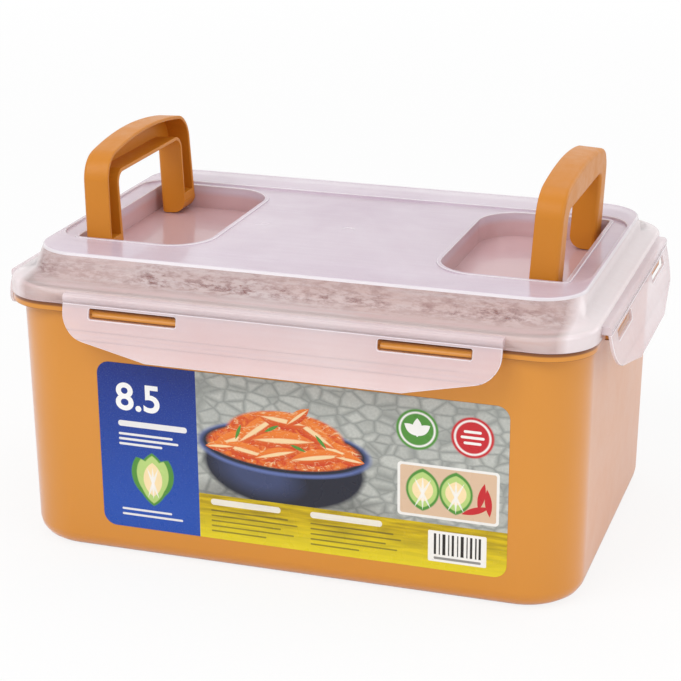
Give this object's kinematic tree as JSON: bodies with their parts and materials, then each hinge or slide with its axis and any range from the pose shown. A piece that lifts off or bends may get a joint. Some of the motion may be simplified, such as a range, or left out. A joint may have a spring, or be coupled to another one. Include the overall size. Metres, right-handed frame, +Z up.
{
  "type": "kimchi container",
  "caption": "Tapered rectangular food tub with a latched lid, flaps on all sides, a flat seal, and fold-down carry handles in pockets on top.",
  "frame": {"origin": "centre of the base, on the plane the tub stands on", "axes": "+X along the length towards the right handle, -Y towards the labelled long side, +Z up"},
  "size_m": [0.3342, 0.2512, 0.2077],
  "materials": {
    "tub_plastic": "satin",
    "lid_plastic": "frosted translucent",
    "handle_plastic": "satin",
    "seal_silicone": "matt",
    "label_film": "printed film"
  },
  "bodies": {
    "tub": {"tub": "tub_plastic", "label": "label_film"},
    "lid": {"lid": "lid_plastic", "lid_seal": "seal_silicone"},
    "front_flap": {"front_flap": "lid_plastic"},
    "back_flap": {"back_flap": "lid_plastic"},
    "left_flap": {"left_flap": "lid_plastic"},
    "right_flap": {"right_flap": "lid_plastic"},
    "left_handle": {"left_handle": "handle_plastic"},
    "right_handle": {"right_handle": "handle_plastic"}
  },
  "joints": [
    {"name": "lid_lift", "type": "slide", "parent": "tub", "child": "lid", "axis": [0, 0, 1], "range_m": [0, 0.25]},
    {"name": "front_flap_hinge", "type": "hinge", "parent": "lid", "child": "front_flap", "pos_m": [0, -0.1177, 0.142], "axis": [-1, 0, 0], "range_deg": [0, 150]},
    {"name": "back_flap_hinge", "type": "hinge", "parent": "lid", "child": "back_flap", "pos_m": [0, 0.1177, 0.142], "axis": [1, 0, 0], "range_deg": [0, 150]},
    {"name": "left_flap_hinge", "type": "hinge", "parent": "lid", "child": "left_flap", "pos_m": [-0.1592, 0, 0.142], "axis": [0, 1, 0], "range_deg": [0, 150]},
    {"name": "right_flap_hinge", "type": "hinge", "parent": "lid", "child": "right_flap", "pos_m": [0.1592, 0, 0.142], "axis": [0, -1, 0], "range_deg": [0, 150]},
    {"name": "left_handle_pivot", "type": "hinge", "parent": "lid", "child": "left_handle", "pos_m": [-0.1195, 0, 0.15414], "axis": [0, 1, 0], "range_deg": [0, 93.1]},
    {"name": "right_handle_pivot", "type": "hinge", "parent": "lid", "child": "right_handle", "pos_m": [0.1195, 0, 0.15414], "axis": [0, -1, 0], "range_deg": [0, 93.1]}
  ]
}
